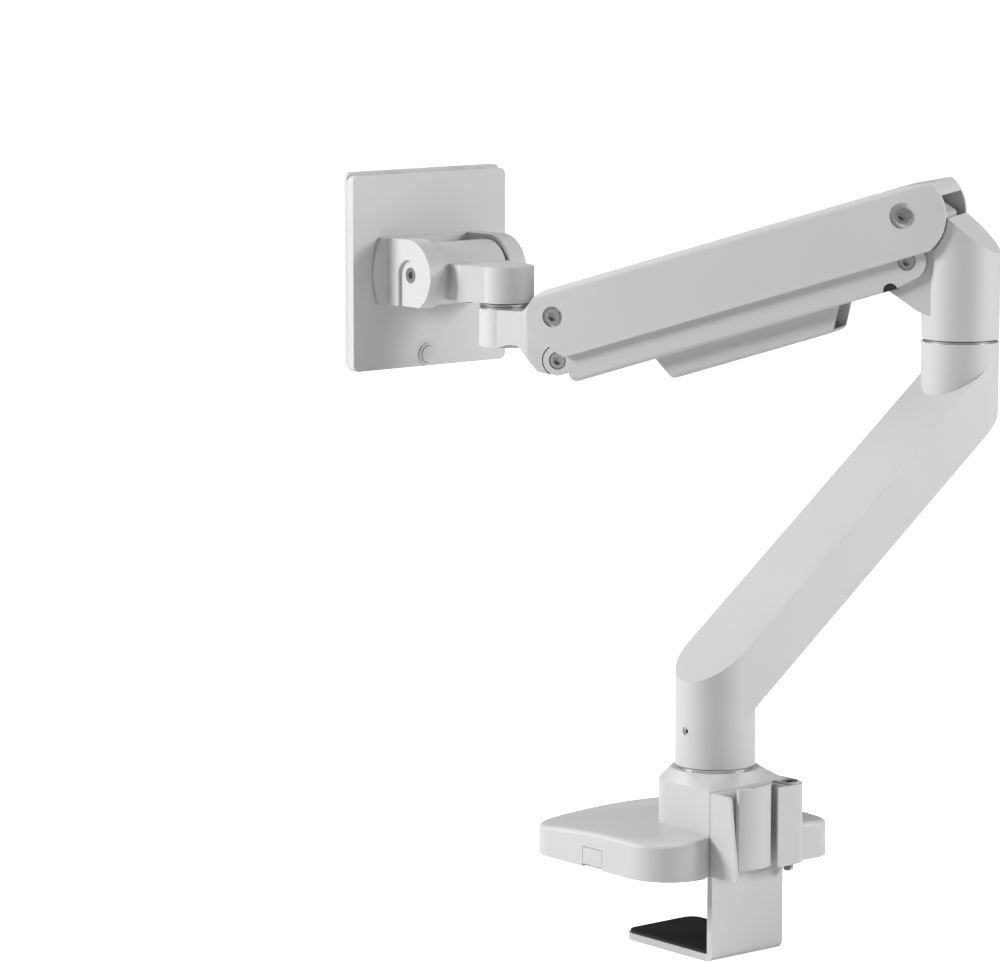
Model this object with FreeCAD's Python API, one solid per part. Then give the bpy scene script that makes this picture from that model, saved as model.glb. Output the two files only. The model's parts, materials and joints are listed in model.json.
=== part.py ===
# Desk-clamped monitor arm: a swivelling lower arm, a spring-loaded parallelogram
# upper arm and a tilting, rotating monitor head.
#
# Row frame: millimetres, +Z up.  The origin is where the column axis meets the
# desk top.  +X runs along the desk edge, -Y points at the user, and the clamp
# hangs over the rear edge of the desk on the +Y side.
# Every group of parts is drawn in its own level frame (x along the arm, y across
# it, z up) and is then turned and moved to its resting place.

import FreeCAD, Part
import math
import os

# ---------------------------------------------------------------- rest pose
LOWER_HEADING = 181.13      # lower arm, degrees from +X
UPPER_HEADING = -59.52      # upper arm, degrees from +X
BEAM_SLOPE = -17.2          # upper arm, degrees above level

# ---------------------------------------------------------------- clearances
RUN = 0.05                  # radial, between a shaft and its bore
GAP = 0.3                   # between faces that turn or slide past each other
SIDE_GAP = 0.4              # between the nested walls of the upper arm
FIT = 0.2                   # between fixed pieces that drop into place
SOCKET_DEPTH = 0.7          # of a hexagon socket, as a share of its width

# ---------------------------------------------------------------- foot and hub
FOOT_HALF_WIDTH = 64.5
FOOT_FRONT = -88.0
FOOT_REAR = 29.5
FOOT_FRONT_CORNER = 20.0
FOOT_REAR_CORNER = 27.0     # on the tray's side
FOOT_SCREW_CORNER = 13.0    # on the clamp screw's side
FOOT_WALL = 3.0
CROWN_TOP = 24.6            # height of the crowned top at its centre
CROWN_RADIUS = 560.0
CROWN_CENTRE_Y = -8.0
EDGE_ROUND = 3.0
PAD_THICK = 1.2
RIM_GAP = 0.3               # the housing's rim stays this far off the desk
BASE_PLATE_THICK = 3.0
HUB_HALF_WIDTH = 28.3
HUB_FRONT = -25.0
HUB_REAR = 27.5
HUB_CORNER = 16.0
HUB_SHOULDER = 48.3         # height where the hub starts to draw in
HUB_TOP = 54.7
HUB_NECK_R = 24.6
REAR_CORE = 22.0            # the foot is solid behind this, round the holder's room
NOTCH_X = 33.0              # end of the notch in the foot's rear wall
BASE_SCREW_X = 46.0
BASE_SCREW_FRONT = -62.0
BASE_SCREW_REAR = 6.0
BASE_SCREW_R = 2.0
BASE_SCREW_HEAD_R = 4.0
BASE_SCREW_LENGTH = 12.0

# ---------------------------------------------------------------- column and lower arm
COLUMN_R = 22.3
SPINDLE_R = 11.0
SPINDLE_FLANGE_R = 18.0
SPINDLE_FLANGE = 5.0
SPINDLE_RISE = 44.0         # length of spindle inside the arm
BUSH_WALL = 2.0
SWIVEL_WASHER = 1.3
SWIVEL_WASHER_R = 21.4
ARM_REACH = 191.55          # column axis to elbow axis
ARM_SLOPE = 0.75            # rise over run of the inclined beam
ARM_TOP = 121.6             # height of its top plane over the column axis
ARM_DEPTH = 39.5            # its vertical depth
ARM_BOSS_TOP = 278.2
ARM_TIP = 5.0               # the underside is cut back this far from its far end
GRUB_R = 2.4
GRUB_SUNK = 0.6             # the grub screws lie this deep
GRUB_Z = 77.0
ELBOW_PIN_R = 9.0
ELBOW_PIN_RISE = 36.0
ELBOW_PIN_DEPTH = 40.0

# ---------------------------------------------------------------- upper arm
PIVOT_CLEAR = 6.4           # the rear upper pivot stands this far in front of the elbow
PIVOT_Z = 351.4
PIVOT_DROP = 26.3           # upper pivot to lower pivot, down
PIVOT_BACK = 2.0            # and back
BEAM_LENGTH = 221.6         # rear pivot to front pivot
COVER_HALF_WIDTH = 25.1
COVER_WALL = 3.2
COVER_TOP = 16.3            # above the line of the upper pivots
COVER_ROOF = 12.7           # underside of its top wall
COVER_BOTTOM = 23.6         # below the line of the upper pivots
COVER_TAPER = 1.2           # extra depth of the cover at its front
COVER_REAR_R = 25.2         # round rear end, about the pivot
COVER_REAR_DROP = 4.6       # the top wall falls this much per 40 mm behind the pivot
COVER_REAR_LIP = 5.0        # the rear wall ends this far above the pivot line
COVER_FRONT_R = 16.2        # round front end, about the pivot
COVER_FRONT_CORNER = 7.0
COVER_EDGE = 4.0
LINK_WALL = 3.0
LINK_FLOOR = 2.4
LINK_TOP = 8.0              # above the line of the lower pivots
LINK_BOTTOM = 13.5          # below it, at the rear
LINK_TAPER = 1.6            # extra depth of the link at its front
LINK_END_R = 11.3
LINK_BOSS_R = 8.9
LINK_FLOOR_START = 28.0
LINK_SHORT = 4.6            # the link's floor ends this far behind the front pivot
LINK_EDGE = 3.0
NOTCH_PLACE = 14.0
NOTCH_R = 4.3
LUG_R = 10.5
LUG_SLOT = 8.0              # half the slot between the elbow's lugs
SCALLOP_GAP = 0.9
FACET_Z = 348.4             # height of the elbow's sloped top on its axis
FACET_SLOPE = 0.84
PIVOT_R = 4.0
PIVOT_HEAD_R = 4.6
PIVOT_HEAD = 1.6
PIVOT_SOCKET = 5.0
RECESS_DEPTH = 1.8
REAR_RECESS_R = 7.5
FRONT_RECESS_R = 6.2
BUSH_R = 5.6
COLLAR_R = 7.2

# ---------------------------------------------------------------- spring
SPRING_ARM = 16.0           # rear upper pivot down to the spring's pin
SPRING_LINE = 14.6          # spring axis below the line of the upper pivots
SPRING_PIN_R = 3.0
YOKE_HALF = 6.5
YOKE_HEIGHT = 17.0
YOKE_SIDE = 7.0
YOKE_PLAY = 0.6             # the pin's play along the spring
YOKE_TRAVEL = 2.2           # and across it
TUBE_R = 8.5
TUBE_START = 62.0
TUBE_SHORT = 53.6           # front pivot back to the spring's anchor
ROD_R = 4.0
ANCHOR_LENGTH = 14.0
ANCHOR_HALF = 11.0

# ---------------------------------------------------------------- cable cover
CLIP_REAR = 48.4
CLIP_SHORT = 56.8           # front pivot back to the cable cover's front end
CLIP_REAR_SLANT = 8.0
CLIP_FRONT_SLANT = 6.7
CLIP_DEPTH = 14.2
CLIP_HALF_WIDTH = 14.5
CLIP_WALL = 1.8

# ---------------------------------------------------------------- front bracket
HEAD_FORWARD = 38.0         # front upper pivot to the head's vertical axis
BOSS_R = 16.1
BOSS_BOTTOM = 265.0
BOSS_TOP = 287.6
BRACKET_HALF_WIDTH = 21.4
FRONT_LUG_R = 11.3
BRACKET_SWEEP = 9.7         # clears the link's front end
SKIN_BEHIND = 3.0           # the bracket's outer skins start this far behind the lower pivot
HEAD_WASHER = 1.4
HEAD_WASHER_R = 15.6
HEAD_PIN_R = 6.0
HEAD_PIN_DEPTH = 20.0
HEAD_PIN_RISE = 19.0

# ---------------------------------------------------------------- head
KNUCKLE_R = 16.7
KNUCKLE_TOP = 312.8
NECK_LENGTH = 47.2          # head axis to the tilt axis
NECK_HALF = 22.2            # where the neck is widest
NECK_REAR_HALF = 17.5       # where it meets the barrel
NECK_CORNER = 16.7
TILT_Z = 305.4
BARREL_R = 18.8
BARREL_HALF = 24.2
TILT_WASHER = 1.0
TILT_WASHER_R = 18.2
EAR_THICK = 11.8
EAR_R = 21.4
EAR_BOTTOM = 19.0
EAR_RECESS = 2.0
EAR_RECESS_R = 9.4
TILT_PIN_R = 3.5
TILT_HEAD_R = 4.8
TILT_HEAD = 3.4
TILT_NUT_R = 6.2
TILT_NUT = 5.0
PLATE_OFFSET = 25.4         # tilt axis to the visible face of the head plate
CROSS_WALL = 4.2
ROOT_DEPTH = 5.6            # ramp beside each ear, along the rotation axis
ROOT_RADIUS = 44.6          # the ramps end on this circle, clear of the button
HEAD_PLATE = 6.0
PLATE_SIZE = 118.0
PLATE_CORNER = 4.0
ADAPTER = 2.6
ADAPTER_LIFT = 2.0
VESA_LARGE = 100.0
VESA_SMALL = 75.0
VESA_HOLE_R = 2.25
TURN_PIN_R = 10.0
TURN_WASHER_R = 16.0
TURN_WASHER = 1.4
TURN_SINK = 2.4             # the washer lies this deep in the head plate
RAIL_NEAR = 20.0            # the rails' edges from the plate's middle
RAIL_FAR = 30.0
RAIL_LENGTH = 80.0
RAIL_DEPTH = 2.6
RAIL_UNDERCUT = 1.2
BUTTON_X = 2.5
BUTTON_DROP = 51.9
BUTTON_R = 5.2
BUTTON_RING = 1.4
BUTTON_PROUD = 3.2
BUTTON_TRAVEL = 2.0

# ---------------------------------------------------------------- clamp
JAW_HALF_WIDTH = 26.5
JAW_THICK = 4.0
JAW_FACE = 27.5             # its outer face
JAW_DROP = 48.2             # desk top to the underside of the lip
JAW_TIP = -46.8
JAW_TOP = 12.0
JAW_CORNER = 8.0
JAW_PAD = 1.5
CLAMP_X = -25.2
CLAMP_R = 3.0
CLAMP_HEAD_R = 5.0
CLAMP_HEAD = 5.0
CLAMP_TIP = -2.4
NUT_HALF = 5.4
NUT_BOTTOM = 2.0
CLIP_RING = 1.2
SCREW_SEAT = 38.9           # underside of the boss that holds the screw

# ---------------------------------------------------------------- cable holder
HOLDER_WALL = 2.0
HOLDER_REAR = 40.8
HOLDER_TOP = 47.2
FLANGE_TOP_REAR = 43.0      # the flange's rear edge leans from here
FLANGE_LOW_REAR = 49.3      # to here
FLANGE_BOTTOM = 0.8
RIB_LEFT = 16.0
RIB_RIGHT = -7.6
RIB_RADIUS = 24.0
RIB_BOTTOM = 3.7
RIB_TOP = 49.0
STEM_LEFT = 6.5
STEM_RIGHT = 2.5
FLAP_LEFT = -10.3
FLAP_BOTTOM = 2.5
FLAP_WALL = 1.4
BOSS_WALL = 1.05            # round the clamp screw's head

# ---------------------------------------------------------------- key tray
TRAY_REAR = -21.3
TRAY_FRONT = -37.5
TRAY_BOTTOM = 2.0
TRAY_TOP = 11.5
TRAY_LENGTH = 60.0
TRAY_WALL = 1.5
DOOR = 2.4
KEY_R = 2.0
KEY_LONG = 50.0
KEY_SHORT = 9.0

# ---------------------------------------------------------------- worked out
PLATE_TOP = PAD_THICK + BASE_PLATE_THICK
ARM_BOTTOM = HUB_TOP + SWIVEL_WASHER + 2 * GAP
ELBOW_BOTTOM = ARM_BOSS_TOP + SWIVEL_WASHER + 2 * GAP
KNUCKLE_BOTTOM = BOSS_TOP + 2 * HEAD_WASHER + 3 * GAP
COVER_INNER = COVER_HALF_WIDTH - COVER_WALL
LINK_OUTER = COVER_INNER - SIDE_GAP
LINK_INNER = LINK_OUTER - LINK_WALL
LUG_OUTER = LINK_INNER - SIDE_GAP
EAR_INNER = BARREL_HALF + GAP + TILT_WASHER
EAR_OUTER = EAR_INNER + EAR_THICK
CLAMP_Y = JAW_FACE + NUT_HALF + FIT
SCREW_BOSS_R = CLAMP_HEAD_R + BOSS_WALL
FLAP_CORNER_R = SCREW_BOSS_R + FIT + FLAP_WALL
JAW_ROOM = JAW_HALF_WIDTH + GAP
JAW_INNER = JAW_FACE - JAW_THICK
LINK_FRONT = BEAM_LENGTH - LINK_SHORT
CLIP_FRONT = BEAM_LENGTH - CLIP_SHORT
TUBE_END = BEAM_LENGTH - TUBE_SHORT
ROD_END = (TUBE_START + TUBE_END) / 2
PIVOT_FORWARD = COLUMN_R + PIVOT_CLEAR
GRUB_LENGTH = COLUMN_R - SPINDLE_R - GRUB_SUNK - BUSH_WALL


def vec(x, y, z):
    return FreeCAD.Vector(x, y, z)


X_AXIS = vec(1, 0, 0)
Y_AXIS = vec(0, 1, 0)
Z_AXIS = vec(0, 0, 1)


# ---------------------------------------------------------------- frames
def level_frame(origin, heading):
    return FreeCAD.Placement(origin, FreeCAD.Rotation(Z_AXIS, heading))


LOWER_FRAME = level_frame(vec(0, 0, 0), LOWER_HEADING)
UPPER_FRAME = level_frame(LOWER_FRAME.multVec(vec(ARM_REACH, 0, 0)), UPPER_HEADING)
REAR_UPPER = vec(PIVOT_FORWARD, 0, PIVOT_Z)
REAR_LOWER = REAR_UPPER + vec(-PIVOT_BACK, 0, -PIVOT_DROP)
RISE = math.radians(BEAM_SLOPE)
BEAM_STEP = vec(BEAM_LENGTH * math.cos(RISE), 0, BEAM_LENGTH * math.sin(RISE))
FRONT_UPPER = REAR_UPPER + BEAM_STEP
FRONT_LOWER = REAR_LOWER + BEAM_STEP
HEAD_X = FRONT_UPPER.x + HEAD_FORWARD
HEAD_FRAME = level_frame(UPPER_FRAME.multVec(vec(HEAD_X, 0, 0)), 0)
TILT_CENTRE = vec(0, -NECK_LENGTH, TILT_Z)
PLATE_FACE = -NECK_LENGTH - PLATE_OFFSET
PLATE_FRONT = PLATE_FACE - HEAD_PLATE
ADAPTER_BACK = PLATE_FRONT - FIT
ADAPTER_FACE = ADAPTER_BACK - ADAPTER


def placed(shape, place):
    moved = shape.copy()
    moved.Placement = place.multiply(moved.Placement)
    return moved


def beam_frame(pivot):
    """Frame of a piece drawn along the beam, turned to the beam's slope."""
    tilt = FreeCAD.Placement(pivot, FreeCAD.Rotation(Y_AXIS, -BEAM_SLOPE))
    return UPPER_FRAME.multiply(tilt)


# ---------------------------------------------------------------- shape helpers
def box(x_range, y_range, z_range):
    size = [high - low for low, high in (x_range, y_range, z_range)]
    return Part.makeBox(*size, vec(x_range[0], y_range[0], z_range[0]))


def rod(start, axis, radius, length):
    return Part.makeCylinder(radius, length, start, axis)


def tube(start, axis, outer, inner, length):
    return rod(start, axis, outer, length).cut(rod(start, axis, inner, length))


def outline(points):
    """Closed wire in the XY plane through (a, b, corner radius) points."""
    count = len(points)
    ends = []
    pieces = []
    for i in range(count):
        before = vec(points[i - 1][0], points[i - 1][1], 0)
        corner = vec(points[i][0], points[i][1], 0)
        after = vec(points[(i + 1) % count][0], points[(i + 1) % count][1], 0)
        radius = points[i][2]
        if radius == 0:
            ends.append((corner, corner))
            continue
        back = (before - corner).normalize()
        ahead = (after - corner).normalize()
        half = back.getAngle(ahead) / 2
        start = corner + back * (radius / math.tan(half))
        end = corner + ahead * (radius / math.tan(half))
        inward = (back + ahead).normalize()
        middle = corner + inward * (radius / math.sin(half) - radius)
        pieces.append(Part.Arc(start, middle, end).toShape())
        ends.append((start, end))
    for i in range(count):
        start = ends[i][1]
        end = ends[(i + 1) % count][0]
        if (end - start).Length > 1e-6:
            pieces.append(Part.makeLine(start, end))
    return Part.Wire(Part.__sortEdges__(pieces))


def plan_prism(points, z_low, z_high):
    face = Part.Face(outline(points))
    face.translate(vec(0, 0, z_low))
    return face.extrude(vec(0, 0, z_high - z_low))


def side_prism(points, y_low, y_high):
    """Prism of an (x, z, radius) outline from y_low to y_high."""
    face = Part.Face(outline(points))
    face.rotate(vec(0, 0, 0), X_AXIS, 90)
    face.translate(vec(0, y_high, 0))
    return face.extrude(vec(0, y_low - y_high, 0))


def facing_prism(points, x_low, x_high):
    """Prism of a (y, z, radius) outline from x_low to x_high."""
    face = Part.Face(outline(points))
    face.rotate(vec(0, 0, 0), vec(1, 1, 1), 120)
    face.translate(vec(x_low, 0, 0))
    return face.extrude(vec(x_high - x_low, 0, 0))


def rectangle(a_range, b_range, radius):
    return [(a_range[0], b_range[0], radius), (a_range[1], b_range[0], radius),
            (a_range[1], b_range[1], radius), (a_range[0], b_range[1], radius)]


def across(half, centre, radius):
    """Cylinder lying across an arm, half its length each side of the middle."""
    return rod(vec(centre.x, -half, centre.z), Y_AXIS, radius, 2 * half)


def fused(shapes):
    result = shapes[0]
    for shape in shapes[1:]:
        result = result.fuse(shape)
    return result.removeSplitter()


def group(shapes):
    return Part.makeCompound(shapes)


def both_sides(shape):
    """A shape and its twin across the arm's middle plane."""
    return [shape, shape.mirror(vec(0, 0, 0), Y_AXIS)]


def hex_prism(start, axis, flats, length):
    """Hexagonal prism from start along axis, flats wide across its flats."""
    radius = flats / math.sqrt(3)
    corners = [vec(radius * math.cos(i * math.pi / 3), radius * math.sin(i * math.pi / 3), 0)
               for i in range(7)]
    prism = Part.Face(Part.makePolygon(corners)).extrude(vec(0, 0, length))
    prism.Placement = FreeCAD.Placement(start, FreeCAD.Rotation(Z_AXIS, axis))
    return prism


def socket_screw(face, axis, head, shank, flats):
    """Screw with a hex socket; head and shank are (radius, length), axis points in."""
    solid = fused([rod(face, axis, *head), rod(face + axis * head[1], axis, *shank)])
    return solid.cut(hex_prism(face, axis, flats, SOCKET_DEPTH * flats))


def grub_screw(face, axis):
    return rod(face, axis, GRUB_R, GRUB_LENGTH).cut(hex_prism(face, axis, GRUB_R, 2.5))


# ---------------------------------------------------------------- base
def foot_outline(inset):
    half = FOOT_HALF_WIDTH - inset
    front = FOOT_FRONT_CORNER - inset
    return [(-half, FOOT_FRONT + inset, front), (half, FOOT_FRONT + inset, front),
            (half, FOOT_REAR - inset, FOOT_REAR_CORNER - inset),
            (-half, FOOT_REAR - inset, FOOT_SCREW_CORNER - inset)]


def crowned_foot(inset, z_low):
    walls = plan_prism(foot_outline(inset), z_low, CROWN_TOP)
    centre = vec(0, CROWN_CENTRE_Y, CROWN_TOP - inset - CROWN_RADIUS)
    return walls.common(Part.makeSphere(CROWN_RADIUS, centre))


def rounded_foot():
    foot = crowned_foot(0, RIM_GAP)
    rim = [edge for edge in foot.Edges if edge.BoundBox.ZMin > RIM_GAP + 1
           and (edge.BoundBox.ZLength > 0.1 or edge.BoundBox.DiagonalLength > 1)
           and not is_upright(edge)]
    return foot.makeFillet(EDGE_ROUND, rim)


def is_upright(edge):
    box_size = edge.BoundBox
    return box_size.XLength < 0.01 and box_size.YLength < 0.01


def hub_outline(half, front, rear, corner):
    return [(-half, front, corner), (half, front, corner), (half, rear, 1.0), (-half, rear, 1.0)]


def hub_solid():
    plan = hub_outline(HUB_HALF_WIDTH, HUB_FRONT, HUB_REAR, HUB_CORNER)
    body = plan_prism(plan, RIM_GAP, HUB_SHOULDER)
    shoulder = outline(plan)
    shoulder.translate(vec(0, 0, HUB_SHOULDER))
    neck = Part.Wire(Part.makeCircle(HUB_NECK_R, vec(0, 0, HUB_TOP)))
    return fused([body, Part.makeLoft([shoulder, neck], True)])


def screw_boss():
    """Round boss behind the hub that carries the clamp screw's head."""
    height = HUB_SHOULDER - SCREW_SEAT
    post = rod(vec(CLAMP_X, CLAMP_Y, SCREW_SEAT), Z_AXIS, SCREW_BOSS_R, height)
    neck = box((CLAMP_X - SCREW_BOSS_R, CLAMP_X + SCREW_BOSS_R), (JAW_INNER - 2, CLAMP_Y),
               (SCREW_SEAT, HUB_SHOULDER))
    return fused([post, neck])


def holder_room():
    """Space behind the hub for the cable holder and the climbing nut."""
    low_x = CLAMP_X - FLAP_CORNER_R - GAP
    return box((low_x, NOTCH_X), (JAW_FACE - GAP, FOOT_REAR + 1), (-1, SCREW_SEAT - 0.4))


def jaw_slot():
    return box((-JAW_ROOM, JAW_ROOM), (JAW_INNER - GAP, FOOT_REAR + 1), (-1, SCREW_SEAT - 0.4))


def tray_room(clearance):
    body = box((FOOT_HALF_WIDTH - TRAY_LENGTH - clearance, FOOT_HALF_WIDTH + 1),
               (TRAY_FRONT - clearance, TRAY_REAR + clearance),
               (PLATE_TOP, TRAY_TOP + clearance))
    door = box((FOOT_HALF_WIDTH - DOOR - clearance, FOOT_HALF_WIDTH + 1),
               (TRAY_FRONT - clearance, TRAY_REAR + clearance),
               (0, TRAY_TOP + clearance))
    return body.fuse(door)


def base_screw_places():
    return [vec(x, y, 0) for x in (-BASE_SCREW_X, BASE_SCREW_X)
            for y in (BASE_SCREW_FRONT, BASE_SCREW_REAR)]


def base_housing():
    shell = crowned_foot(FOOT_WALL, PLATE_TOP)
    rim = plan_prism(foot_outline(FOOT_WALL), 0, PLATE_TOP)
    hub_core = box((-HUB_HALF_WIDTH, HUB_HALF_WIDTH), (HUB_FRONT, HUB_REAR), (PLATE_TOP, HUB_TOP))
    rear_core = box((CLAMP_X - FLAP_CORNER_R - FOOT_WALL, NOTCH_X + FOOT_WALL), (REAR_CORE, FOOT_REAR),
                    (PLATE_TOP, HUB_TOP))
    sleeve = box((0, FOOT_HALF_WIDTH), (TRAY_FRONT - 2, TRAY_REAR + 2), (PLATE_TOP, TRAY_TOP + 2))
    room = shell.cut(hub_core).cut(rear_core).cut(sleeve)
    for place in base_screw_places():
        room = room.cut(rod(place, Z_AXIS, BASE_SCREW_HEAD_R, CROWN_TOP))
    housing = fused([rounded_foot(), hub_solid(), screw_boss()]).cut(room).cut(rim)
    housing = housing.cut(jaw_slot()).cut(holder_room()).cut(tray_room(GAP))
    housing = housing.cut(rod(vec(0, 0, 0), Z_AXIS, SPINDLE_R + FIT, HUB_TOP + 1))
    housing = housing.cut(rod(vec(0, 0, 0), Z_AXIS, SPINDLE_FLANGE_R + FIT,
                              PLATE_TOP + SPINDLE_FLANGE + FIT))
    for place in base_screw_places():
        housing = housing.cut(rod(place, Z_AXIS, BASE_SCREW_R, PAD_THICK + BASE_SCREW_LENGTH + 1))
    clamp = vec(CLAMP_X, CLAMP_Y, 0)
    housing = housing.cut(rod(clamp, Z_AXIS, CLAMP_R + RUN, HUB_TOP))
    seat = HUB_SHOULDER - CLAMP_HEAD - 0.5
    housing = housing.cut(rod(clamp + vec(0, 0, seat), Z_AXIS, CLAMP_HEAD_R + RUN, HUB_TOP))
    return housing


def base_plate():
    plate = plan_prism(foot_outline(FOOT_WALL + FIT), PAD_THICK, PLATE_TOP)
    plate = plate.cut(jaw_slot())
    for place in base_screw_places():
        plate = plate.cut(rod(place, Z_AXIS, BASE_SCREW_R, PLATE_TOP + 1))
    return plate


def desk_pad():
    pad = plan_prism(foot_outline(FOOT_WALL + 2), 0, PAD_THICK).cut(jaw_slot())
    for place in base_screw_places():
        pad = pad.cut(rod(place, Z_AXIS, BASE_SCREW_HEAD_R + FIT, PLATE_TOP))
    return pad


def base_screws():
    """Pan-head screws that hold the plate to the housing, sunk in the pad."""
    screws = []
    for place in base_screw_places():
        face = place + vec(0, 0, 0.2)
        head = (BASE_SCREW_HEAD_R, PAD_THICK - 0.2)
        screws.append(socket_screw(face, Z_AXIS, head, (BASE_SCREW_R, BASE_SCREW_LENGTH), 2.0))
    return group(screws)


def column_spindle():
    flange = rod(vec(0, 0, PLATE_TOP), Z_AXIS, SPINDLE_FLANGE_R, SPINDLE_FLANGE)
    shaft = rod(vec(0, 0, PLATE_TOP), Z_AXIS, SPINDLE_R, ARM_BOTTOM + SPINDLE_RISE - PLATE_TOP)
    return fused([flange, shaft])


def swivel_washer(z):
    return tube(vec(0, 0, z), Z_AXIS, SWIVEL_WASHER_R, SPINDLE_R + FIT, SWIVEL_WASHER)


def base_washer():
    return swivel_washer(HUB_TOP)


# ---------------------------------------------------------------- cable holder
def holder_flange(front):
    """Side wall whose rear edge leans outwards towards the desk."""
    side = [(front, FLANGE_BOTTOM, 0), (FLANGE_LOW_REAR, FLANGE_BOTTOM, 2),
            (FLANGE_TOP_REAR, HOLDER_TOP, 2), (front, HOLDER_TOP, 0)]
    return facing_prism(side, HUB_HALF_WIDTH - HOLDER_WALL, HUB_HALF_WIDTH)


def holder_rib():
    """Bowed guide between the two cable channels."""
    middle = (RIB_LEFT + RIB_RIGHT) / 2
    half = (RIB_LEFT - RIB_RIGHT) / 2
    centre = vec(middle, HOLDER_REAR - RIB_RADIUS, RIB_BOTTOM)
    bow = tube(centre, Z_AXIS, RIB_RADIUS, RIB_RADIUS - HOLDER_WALL, RIB_TOP - RIB_BOTTOM)
    return bow.common(box((middle - half, middle + half), (centre.y, HOLDER_REAR + 1), (0, RIB_TOP)))


def flap_plan(inset, front):
    """Plan of the flap, rounded about the clamp screw."""
    outer = CLAMP_X - FLAP_CORNER_R + inset
    return [(FLAP_LEFT, front, 0), (FLAP_LEFT, HOLDER_REAR - inset, 0),
            (outer, CLAMP_Y + FLAP_CORNER_R - inset, FLAP_CORNER_R - inset), (outer, front, 0)]


def holder_flap(front):
    """Wall that hides the clamp screw and wraps round its side."""
    outer = plan_prism(flap_plan(0, front), FLAP_BOTTOM, HOLDER_TOP)
    inner = plan_prism(flap_plan(FLAP_WALL, front - 1), FLAP_BOTTOM - 1, HOLDER_TOP + 1)
    return outer.cut(inner)


def cable_holder():
    front = HUB_REAR + FIT
    rear = front + HOLDER_WALL
    divider = CLAMP_X + NUT_HALF + 1.2
    back = box((divider, HUB_HALF_WIDTH), (front, rear), (FLAP_BOTTOM, HOLDER_TOP))
    stem = box((STEM_RIGHT, STEM_LEFT), (front, HOLDER_REAR - 1), (RIB_BOTTOM, HOLDER_TOP))
    side = box((divider, divider + HOLDER_WALL), (front, HOLDER_REAR), (FLAP_BOTTOM, HOLDER_TOP))
    holder = fused([back, holder_flange(front), stem, holder_rib(), side, holder_flap(front)])
    return holder.cut(screw_boss())


# ---------------------------------------------------------------- clamp
def clamp_jaw():
    side = [(JAW_TIP, -JAW_DROP, 0), (JAW_FACE, -JAW_DROP, 5), (JAW_FACE, JAW_TOP, 0),
            (JAW_INNER, JAW_TOP, 0), (JAW_INNER, JAW_THICK - JAW_DROP, 1),
            (JAW_TIP, JAW_THICK - JAW_DROP, 0)]
    plate = facing_prism(side, -JAW_HALF_WIDTH, JAW_HALF_WIDTH)
    plan = [(-JAW_HALF_WIDTH, JAW_TIP, JAW_CORNER), (JAW_HALF_WIDTH, JAW_TIP, JAW_CORNER),
            (JAW_HALF_WIDTH, JAW_FACE, 0), (-JAW_HALF_WIDTH, JAW_FACE, 0)]
    return plate.common(plan_prism(plan, -JAW_DROP, JAW_TOP))


def jaw_pad():
    low = JAW_THICK - JAW_DROP
    half = JAW_HALF_WIDTH - 1.0
    plan = [(-half, JAW_TIP + 1, JAW_CORNER - 1), (half, JAW_TIP + 1, JAW_CORNER - 1),
            (half, JAW_INNER - 2, 1), (-half, JAW_INNER - 2, 1)]
    return plan_prism(plan, low, low + JAW_PAD)


def clamp_nut():
    """Threaded block on the back of the jaw, climbing the clamp screw."""
    block = box((CLAMP_X - NUT_HALF, CLAMP_X + NUT_HALF), (JAW_FACE, CLAMP_Y), (NUT_BOTTOM, JAW_TOP))
    barrel = rod(vec(CLAMP_X, CLAMP_Y, NUT_BOTTOM), Z_AXIS, NUT_HALF, JAW_TOP - NUT_BOTTOM)
    return fused([block, barrel]).cut(rod(vec(CLAMP_X, CLAMP_Y, 0), Z_AXIS, CLAMP_R + RUN, JAW_TOP + 1))


def clamp_screw():
    face = vec(CLAMP_X, CLAMP_Y, HUB_SHOULDER - 0.5)
    shank = (CLAMP_R, face.z - CLAMP_HEAD - CLAMP_TIP)
    return socket_screw(face, -Z_AXIS, (CLAMP_HEAD_R, CLAMP_HEAD), shank, 2 * KEY_R + 0.1)


def clamp_clip():
    return tube(vec(CLAMP_X, CLAMP_Y, SCREW_SEAT - GAP - CLIP_RING), Z_AXIS, CLAMP_HEAD_R, CLAMP_R,
                CLIP_RING)


# ---------------------------------------------------------------- key tray
def key_tray():
    start = FOOT_HALF_WIDTH - TRAY_LENGTH
    side = TRAY_FRONT + 1.0, TRAY_REAR - 1.0
    body = box((start, FOOT_HALF_WIDTH), side, (PLATE_TOP + GAP, TRAY_TOP - 0.5))
    hollow = box((start + TRAY_WALL, FOOT_HALF_WIDTH - DOOR), (side[0] + TRAY_WALL, side[1] - TRAY_WALL),
                 (PLATE_TOP + GAP + TRAY_WALL, TRAY_TOP))
    door = box((FOOT_HALF_WIDTH - DOOR, FOOT_HALF_WIDTH), (TRAY_FRONT, TRAY_REAR), (TRAY_BOTTOM, TRAY_TOP))
    return fused([body, door]).cut(hollow)


def hex_key():
    """Hexagon key for the clamp screw, lying in the tray."""
    z = PLATE_TOP + GAP + TRAY_WALL + KEY_R + 0.4
    x = FOOT_HALF_WIDTH - DOOR - 4 - KEY_R
    y = TRAY_REAR - 1.0 - TRAY_WALL - 0.6 - KEY_R
    long_leg = hex_prism(vec(x - KEY_LONG, y, z), X_AXIS, 2 * KEY_R * 0.98, KEY_LONG)
    short_leg = hex_prism(vec(x - KEY_R, y + KEY_R, z), -Y_AXIS, 2 * KEY_R * 0.98, KEY_SHORT)
    return fused([long_leg, short_leg])


# ---------------------------------------------------------------- lower arm
def arm_top(x):
    return ARM_TOP + ARM_SLOPE * x


def arm_underside(x):
    return arm_top(x) - ARM_DEPTH


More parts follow.
